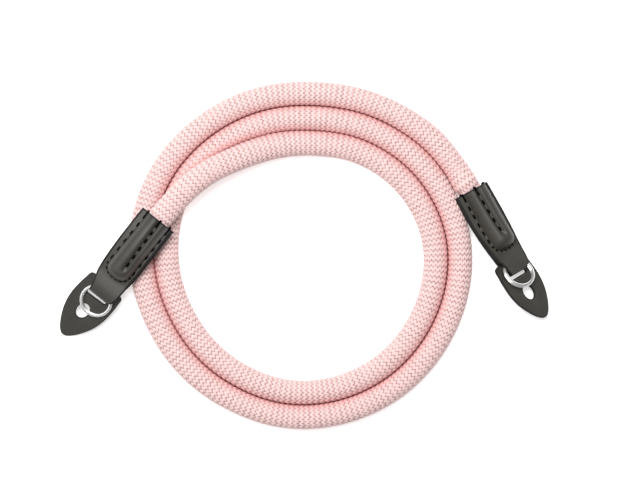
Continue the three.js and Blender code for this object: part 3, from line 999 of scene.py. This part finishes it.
def guard_outlines(end):
    """The guard's outline, its slot and its lug hole, each as a closed line that turns against the clock,
    with the sign of the way into the leather: 1 to the left of the line, -1 to its right."""
    side = np.stack([GUARD_SIDE["x"], GUARD_SIDE["half"]], -1)
    rim = spline(np.vstack([side * [1, -1], [[GUARD_TIP, 0]], side[::-1]]), steps=OUTLINE_STEPS["span"])
    rear = np.linspace(0, 1, OUTLINE_STEPS["rear"])[1:-1, None]
    rim = np.vstack([rim, rim[-1] + (rim[0] - rim[-1]) * rear])
    c, half = SLOT["corner"], SLOT["half"]
    front, back = end["slot_to"] - c, SLOT["from"] + c
    quarter = np.linspace(0, np.pi / 2, OUTLINE_STEPS["corner"])
    slot = []
    for k, (x, y) in enumerate(((front, half - c), (back, half - c), (back, c - half), (front, c - half))):
        turn = quarter + k * np.pi / 2
        slot.append(stack(x + c * np.cos(turn), y + c * np.sin(turn)))
    turn = np.linspace(0, 2 * np.pi, OUTLINE_STEPS["hole"], endpoint=False)
    along, across = LUG_HOLE["along"] * np.cos(turn), LUG_HOLE["across"] * np.sin(turn)
    hole = stack(LUG_HOLE["x"] + along, LUG_HOLE["y"] + across)
    behind, before = ([stretch, 1] for stretch in end["guard_stretch"])
    rim = rim * np.where(rim[:, :1] > 0, before, behind)
    return (rim, 1), (turned(np.concatenate(slot), end["slot_turn"], "z"), -1), (hole * before, -1)


def guard_surface(end, rounding=0.25, inset=0.9, steps=5):
    """The guard: a band round each outline, whose section goes from an inset line on the top over a rounded
    edge to the same line on the bottom, and flat faces between the inset lines. Says which faces are
    painted."""
    quarter = np.linspace(0, np.pi / 2, steps)
    over = stack(rounding * (1 - np.sin(quarter)), -rounding * (1 - np.cos(quarter)))
    under = over[::-1] * [1, -1] - [0, GUARD_THICKNESS]
    top = [[inset, 0], [PAINTED_MARGIN, 0]]
    bottom = [[PAINTED_MARGIN, -GUARD_THICKNESS], [inset, -GUARD_THICKNESS]]
    section = np.vstack([top, over, under, bottom])
    vertices, faces, painted, tops, bottoms, first = [], [], [], [], [], 0
    for line, inwards in guard_outlines(end):
        ahead = unit(np.roll(line, -1, 0) - np.roll(line, 1, 0))
        into = inwards * stack(-ahead[:, 1], ahead[:, 0])
        flat = line + section[:, 0, None, None] * into
        band = np.concatenate([flat, np.broadcast_to(section[:, 1, None, None], (*flat.shape[:2], 1))], -1)
        count = len(line)
        quads = grid_faces(len(section), count)[:, ::-inwards]
        row = np.repeat(np.arange(len(section) - 1), count)
        faces += (quads + first).tolist()
        painted += ((row > 0) & (row < len(section) - 2)).tolist()
        vertices.append(band.reshape(-1, 3))
        tops.append((band[0], first))
        bottoms.append((band[-1], first + (len(section) - 1) * count))
        first += band.shape[0] * count
    points = np.concatenate(vertices)
    for loops, turn in ((tops, 1), (bottoms, -1)):
        names = np.concatenate([start + np.arange(len(line)) for line, start in loops])
        corners = tessellate_polygon([[Vector(point) for point in line] for line, start in loops])
        triangles = names[np.array(corners)]
        a, b, c = (points[triangles[:, k], :2] for k in range(3))
        turns = np.cross(b - a, c - a) * turn
        triangles[turns < 0] = triangles[turns < 0][:, ::-1]
        faces += triangles.tolist()
        painted += [False] * len(triangles)
    return points, faces, painted


class STRAP_OT_guards(bpy.types.Operator):
    """The two leather guards, with a slot for the tongue and a hole for the camera's lug"""

    bl_idname = "strap.guards"
    bl_label = "Guards"

    def execute(self, context):
        leather = context.scene.strap.leather
        materials = [leather_finish(leather, "guard_leather", GUARD_DARKER), edge_finish(leather)]
        for name, end in ENDS.items():
            points, faces, painted = guard_surface(end)
            flat = turned(turned(points, end["guard_turn"], "z"), -end["guard_lift"], "y")
            place = laid_at_slot(flat, end)
            piece = new_piece(f"{name}_leather_guard", place, faces, materials, second=painted)
            keep(piece, "leather", f"{name}_guard")
        return {"FINISHED"}


# Rings


def ring_surface(wire, steps=190, sides=18):
    """The split ring: two flat turns of oval wire, with one short slope where the first climbs on the second.
    A point is at the section's place outwards and upwards from the wire's middle line. The section is a
    squarish oval: the cosine and the sine, each to a power below one."""
    turn = np.linspace(RING["end"], 4 * np.pi - RING["end"], steps)[:, None]
    climb = smooth((turn - 2 * np.pi + RING["crossing"]) / (2 * RING["crossing"]))
    v = np.linspace(0, 2 * np.pi, sides, endpoint=False)[None]
    out = RING["radius"] + wire / 2 * np.sign(np.cos(v)) * np.abs(np.cos(v)) ** RING["power"]
    up = RING["wire_height"] / 2 * np.sign(np.sin(v)) * np.abs(np.sin(v)) ** RING["power"]
    return stack(out * np.cos(turn), out * np.sin(turn), RING["rise"] * climb + up)


class STRAP_OT_rings(bpy.types.Operator):
    """The two split rings"""

    bl_idname = "strap.rings"
    bl_label = "Split rings"

    def execute(self, context):
        ring = context.scene.strap.ring
        steel = wire_finish(ring)
        shape = ring_surface(ring.wire / MM)
        for name, end in ENDS.items():
            raised = RING["radius"] * np.sin(np.radians(abs(end["ring_tilt"])))
            place = turned(turned(shape, end["ring_turn"], "z"), end["ring_tilt"], "y")
            place = place + [*end["ring"], RING["gap"] + RING["wire_height"] / 2 + raised]
            piece = tubes(f"{name}_split_ring", [laid_at_slot(place, end)], steel)
            keep(piece, "steel", f"{name}_ring")
        return {"FINISHED"}


# Stage


class STRAP_OT_stage(bpy.types.Operator):
    """The table, the soft lights and the camera straight above"""

    bl_idname = "strap.stage"
    bl_label = "Stage"

    def execute(self, context):
        stage = context.scene.strap.stage
        self.add_table(stage)
        self.add_light("key", stage.key, **KEY_LIGHT)
        self.add_light("fill", stage.fill, **FILL_LIGHT)
        world = bpy.data.worlds.new("room")
        world.use_nodes = True
        background = next(n for n in world.node_tree.nodes if n.type == "BACKGROUND")
        background.inputs["Color"].default_value = rgba((1.0, 1.0, 1.0))
        background.inputs["Strength"].default_value = stage.sky
        context.scene.world = world
        context.scene.view_settings.view_transform = "Standard"
        self.add_camera(context, stage)
        return {"FINISHED"}

    def add_table(self, stage):
        """A flat square under the strap, which also gives a little light by itself."""
        half = TABLE_HALF_M / MM
        corners = [(-half, -half, 0), (half, -half, 0), (half, half, 0), (-half, half, 0)]
        f = Finish("table_top")
        white = rgba(stage.floor_colour)
        f.finish(Base_Color=white, Roughness=0.9, Emission_Color=white, Emission_Strength=stage.glow)
        new_piece("table_top", corners, [[0, 1, 2, 3]], [f.material])

    def add_light(self, name, power, place, size):
        """A square area light that faces the strap."""
        lamp = bpy.data.lights.new(name, "AREA")
        lamp.energy, lamp.size = power, size
        holder = bpy.data.objects.new(name, lamp)
        holder.location = place
        holder.rotation_euler = (-holder.location).to_track_quat("-Z", "Y").to_euler()
        bpy.context.scene.collection.objects.link(holder)

    def add_camera(self, context, stage):
        """The lens shows the picture's width at the height of the rope's axis."""
        lens = bpy.data.cameras.new("camera")
        width = PICTURE_WIDTH * MM_PER_PIXEL * MM
        lens.lens = lens.sensor_width * (stage.distance - FLOOR * MM) / width
        lens.clip_end = VIEW_END_M
        camera = bpy.data.objects.new("camera", lens)
        camera.location = (LOOKED_AT[0] * MM, LOOKED_AT[1] * MM, stage.distance)
        context.scene.collection.objects.link(camera)
        context.scene.camera = camera


class STRAP_PT_panel(bpy.types.Panel):
    """Lists the strap's pieces"""

    bl_idname = "STRAP_PT_panel"
    bl_label = "Rope neck strap"
    bl_space_type = "VIEW_3D"
    bl_region_type = "UI"
    bl_category = "Strap"

    def draw(self, context):
        for operator in OPERATORS:
            self.layout.operator(operator.bl_idname)
        for group in ("rope", "leather", "stitch", "ring", "stage"):
            box = self.layout.box()
            settings = getattr(context.scene.strap, group)
            for name in settings.bl_rna.properties.keys():
                if name not in ("rna_type", "name"):
                    box.prop(settings, name)


OPERATORS = (
    STRAP_OT_stage,
    STRAP_OT_rope,
    STRAP_OT_leather_ends,
    STRAP_OT_stitches,
    STRAP_OT_guards,
    STRAP_OT_rings,
)
GROUPS = (RopeSettings, LeatherSettings, StitchSettings, RingSettings, StageSettings, StrapSettings)


def register():
    for group in (*GROUPS, *OPERATORS, STRAP_PT_panel):
        bpy.utils.register_class(group)
    bpy.types.Scene.strap = bpy.props.PointerProperty(type=StrapSettings)


def unregister():
    del bpy.types.Scene.strap
    for group in reversed((*GROUPS, *OPERATORS, STRAP_PT_panel)):
        bpy.utils.unregister_class(group)


def main():
    register()
    bpy.ops.strap.stage()
    bpy.ops.strap.rope()
    bpy.ops.strap.leather_ends()
    bpy.ops.strap.stitches()
    bpy.ops.strap.guards()
    bpy.ops.strap.rings()


if __name__ == "__main__":
    main()
